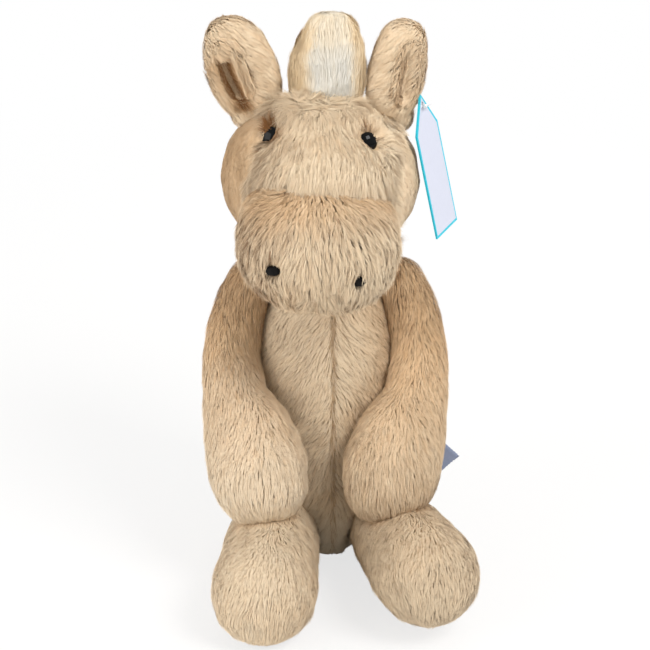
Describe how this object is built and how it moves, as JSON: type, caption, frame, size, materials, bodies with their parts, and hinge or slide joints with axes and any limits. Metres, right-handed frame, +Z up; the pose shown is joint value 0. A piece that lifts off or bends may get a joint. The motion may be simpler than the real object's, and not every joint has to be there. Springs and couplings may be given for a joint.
{
  "type": "plush horse",
  "caption": "Seated stuffed horse with a head that nods, ears that fold, floppy arms and legs, a lifting tail and a hanging card tag.",
  "frame": {"origin": "middle of the footprint's bounding box, on the surface that the toy sits on", "axes": "+Z up, the toy faces -Y, its own left side is +X"},
  "size_m": [0.1216, 0.1748, 0.2592],
  "materials": {
    "plush": "short golden-tan pile, lying down",
    "lining": "short pile, darker in the hollow of the ear",
    "cream_pile": "longer cream pile",
    "pouch_cloth": "plain woven cotton",
    "label_satin": "folded satin ribbon, bare",
    "eye_gloss": "black, polished",
    "washer": "natural moulded",
    "nostril_thread": "black satin stitch",
    "clear_pin": "clear moulded filament",
    "tag_card": "coated card, bare, with a coloured border"
  },
  "bodies": {
    "torso": {"body": "plush", "seat_pouch": "pouch_cloth", "side_label": "label_satin"},
    "head": {"head": "plush", "muzzle": "plush", "forelock": "cream_pile", "mane": "cream_pile", "eye_left": "eye_gloss", "eye_right": "eye_gloss", "eye_washer_left": "washer", "eye_washer_right": "washer", "nostril_left": "nostril_thread", "nostril_right": "nostril_thread"},
    "ear_left": {"ear_left": "plush", "ear_lining_left": "lining", "tag_pin": "clear_pin"},
    "ear_right": {"ear_right": "plush", "ear_lining_right": "lining"},
    "tag": {"swing_tag": "tag_card"},
    "arm_left": {"arm_left": "plush"},
    "arm_right": {"arm_right": "plush"},
    "leg_left": {"leg_left": "plush"},
    "leg_right": {"leg_right": "plush"},
    "tail": {"tail": "cream_pile"}
  },
  "joints": [
    {"name": "head_nod", "type": "hinge", "parent": "torso", "child": "head", "pos_m": [-0.00983, 0.02845, 0.134], "axis": [-1, 0, 0], "range_deg": [-12, 18]},
    {"name": "ear_left_fold", "type": "hinge", "parent": "head", "child": "ear_left", "pos_m": [0.02354, 0.02745, 0.21062], "axis": [0.8565, 0.5, -0.128], "range_deg": [-30, 12]},
    {"name": "ear_right_fold", "type": "hinge", "parent": "head", "child": "ear_right", "pos_m": [-0.0364, 0.02745, 0.21323], "axis": [0.9329, -0.2079, 0.2941], "range_deg": [-30, 30]},
    {"name": "tag_swing", "type": "hinge", "parent": "ear_left", "child": "tag", "pos_m": [0.03886, 0.02935, 0.21622], "axis": [-0.3584, -0.9336, 0], "range_deg": [0, 30]},
    {"name": "arm_left_swing", "type": "hinge", "parent": "torso", "child": "arm_left", "pos_m": [0.02867, 0.02945, 0.131], "axis": [-0.8192, -0.5736, 0], "range_deg": [0, 78]},
    {"name": "arm_right_swing", "type": "hinge", "parent": "torso", "child": "arm_right", "pos_m": [-0.03933, 0.02945, 0.131], "axis": [-0.8192, 0.5736, 0], "range_deg": [0, 78]},
    {"name": "leg_left_swing", "type": "hinge", "parent": "torso", "child": "leg_left", "pos_m": [0.02317, 0.00045, 0.0206], "axis": [1, 0, 0], "range_deg": [0, 80]},
    {"name": "leg_right_swing", "type": "hinge", "parent": "torso", "child": "leg_right", "pos_m": [-0.02883, 0.00045, 0.0206], "axis": [1, 0, 0], "range_deg": [0, 80]},
    {"name": "tail_lift", "type": "hinge", "parent": "torso", "child": "tail", "pos_m": [-0.00283, 0.06728, 0.036], "axis": [1, 0, 0], "range_deg": [0, 50]}
  ]
}
